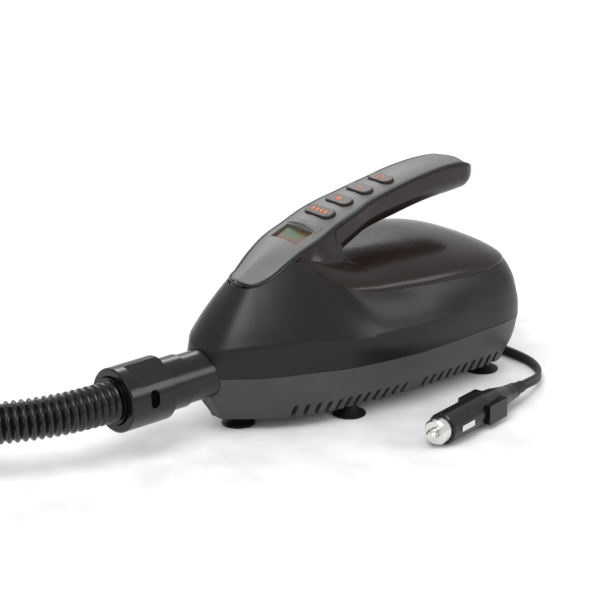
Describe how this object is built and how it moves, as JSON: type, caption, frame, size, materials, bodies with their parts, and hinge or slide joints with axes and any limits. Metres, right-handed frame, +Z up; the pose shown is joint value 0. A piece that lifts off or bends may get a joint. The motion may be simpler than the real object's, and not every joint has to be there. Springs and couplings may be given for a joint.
{
  "type": "electric air pump",
  "caption": "Low, boat-shaped electric air pump with a swept carry handle, control panel, outlet hose with bayonet nut, suction feet and a vehicle socket lead.",
  "frame": {"origin": "on the ground under the middle of the pump, without its hose and lead", "axes": "+X towards the back, -X towards the nozzle, +Z up"},
  "size_m": [0.7525, 0.2804, 0.1445],
  "materials": {
    "tray_plastic": "fine satin moulding",
    "shell_plastic": "satin moulding",
    "deck_plastic": "glossy moulding",
    "panel_plastic": "satin grey",
    "button_plastic": "satin",
    "black_rubber": "matt",
    "hose_plastic": "gloss black",
    "lead_rubber": "soft black",
    "plug_plastic": "black",
    "plug_metal": "nickel plated",
    "board": "green board",
    "switch_plastic": "matt black",
    "display_glass": "clear window",
    "steel": "zinc plated",
    "bearing_metal": "sintered bronze",
    "aluminium_parts": "die cast",
    "inner_plastic": "plain moulding",
    "brass_parts": "machined"
  },
  "bodies": {
    "housing": {"base_shell": "tray_plastic", "blower_cover": "inner_plastic", "blower_duct": "inner_plastic", "blower_motor_can": "steel", "blower_volute": "inner_plastic", "board_screws": "steel", "compressor_frame": "steel", "compressor_motor_can": "steel", "connector_sleeve": "hose_plastic", "control_board": "board", "cord_gland": "black_rubber", "cylinder": "aluminium_parts", "cylinder_head": "aluminium_parts", "deck_cover": "deck_plastic", "delivery_tube": "brass_parts", "display_lens": "display_glass", "display_module": "switch_plastic", "flap_pin": "steel", "handle_frame": "shell_plastic", "handle_grip": "deck_plastic", "handle_panel": "panel_plastic", "hose_coil": "hose_plastic", "hose_cuff": "hose_plastic", "hose_end_fitting": "hose_plastic", "hose_run": "hose_plastic", "housing_screws": "steel", "lead_back": "lead_rubber", "lead_coil": "lead_rubber", "lead_out": "lead_rubber", "main_shell": "shell_plastic", "motor_bearings": "bearing_metal", "motor_brush_caps": "inner_plastic", "motor_mount": "black_rubber", "outlet_manifold": "inner_plastic", "outlet_spigot": "hose_plastic", "plug_body": "plug_plastic", "plug_fuse": "plug_metal", "plug_relief": "lead_rubber", "plug_ring": "plug_metal", "spigot_seal": "black_rubber", "suction_feet": "black_rubber", "tact_switches": "switch_plastic"},
    "mode_button": {"button_mode": "button_plastic"},
    "plus_button": {"button_plus": "button_plastic"},
    "minus_button": {"button_minus": "button_plastic"},
    "power_button": {"button_power": "button_plastic"},
    "blower_wheel": {"impeller": "inner_plastic", "blower_rotor": "steel"},
    "compressor_armature": {"compressor_rotor": "steel", "drive_pinion": "brass_parts"},
    "crank": {"crank_gear": "inner_plastic", "crank_shaft": "steel"},
    "piston_rod": {"piston": "aluminium_parts", "connecting_rod": "steel", "piston_seal": "black_rubber"},
    "flap": {"check_flap": "inner_plastic"},
    "nut": {"coupler_nut": "hose_plastic"},
    "tip_contact": {"plug_tip": "plug_metal"},
    "near_contact": {"plug_contact_near": "plug_metal"},
    "far_contact": {"plug_contact_far": "plug_metal"}
  },
  "joints": [
    {"name": "mode_press", "type": "slide", "parent": "housing", "child": "mode_button", "axis": [0.2846, 0, -0.9586], "range_m": [0, 0.001], "stiffness_N_per_m": 400},
    {"name": "plus_press", "type": "slide", "parent": "housing", "child": "plus_button", "axis": [0.2298, 0, -0.9732], "range_m": [0, 0.001], "stiffness_N_per_m": 400},
    {"name": "minus_press", "type": "slide", "parent": "housing", "child": "minus_button", "axis": [0.1867, 0, -0.9824], "range_m": [0, 0.001], "stiffness_N_per_m": 400},
    {"name": "power_press", "type": "slide", "parent": "housing", "child": "power_button", "axis": [0.1507, 0, -0.9886], "range_m": [0, 0.001], "stiffness_N_per_m": 400},
    {"name": "blower_spin", "type": "hinge", "parent": "housing", "child": "blower_wheel", "pos_m": [0.068, 0, 0.03], "axis": [0, 0, 1], "continuous": true},
    {"name": "crank_spin", "type": "hinge", "parent": "housing", "child": "crank", "pos_m": [-0.01215, 0.01, 0.067], "axis": [0, 1, 0], "continuous": true},
    {"name": "armature_spin", "type": "hinge", "parent": "housing", "child": "compressor_armature", "pos_m": [0.008, 0, 0.067], "axis": [0, 1, 0], "continuous": true},
    {"name": "piston_slide", "type": "slide", "parent": "housing", "child": "piston_rod", "axis": [-1, 0, 0], "range_m": [0, 0.0135]},
    {"name": "flap_swing", "type": "hinge", "parent": "housing", "child": "flap", "pos_m": [-0.0744, 0, 0.0476], "axis": [0, 1, 0], "range_deg": [0, 24]},
    {"name": "nut_turn", "type": "hinge", "parent": "housing", "child": "nut", "pos_m": [-0.165, 0, 0.0425], "axis": [1, 0, 0], "range_deg": [0, 60]},
    {"name": "tip_press", "type": "slide", "parent": "housing", "child": "tip_contact", "axis": [0.9796, 0.2011, 0], "range_m": [0, 0.003], "stiffness_N_per_m": 300},
    {"name": "near_contact_press", "type": "slide", "parent": "housing", "child": "near_contact", "axis": [-0.2011, 0.9796, 0], "range_m": [0, 0.001], "stiffness_N_per_m": 300},
    {"name": "far_contact_press", "type": "slide", "parent": "housing", "child": "far_contact", "axis": [0.2011, -0.9796, 0], "range_m": [0, 0.001], "stiffness_N_per_m": 300}
  ],
  "couplings": [
    {"joint": "crank_spin", "follows": "armature_spin", "ratio": -0.25}
  ]
}
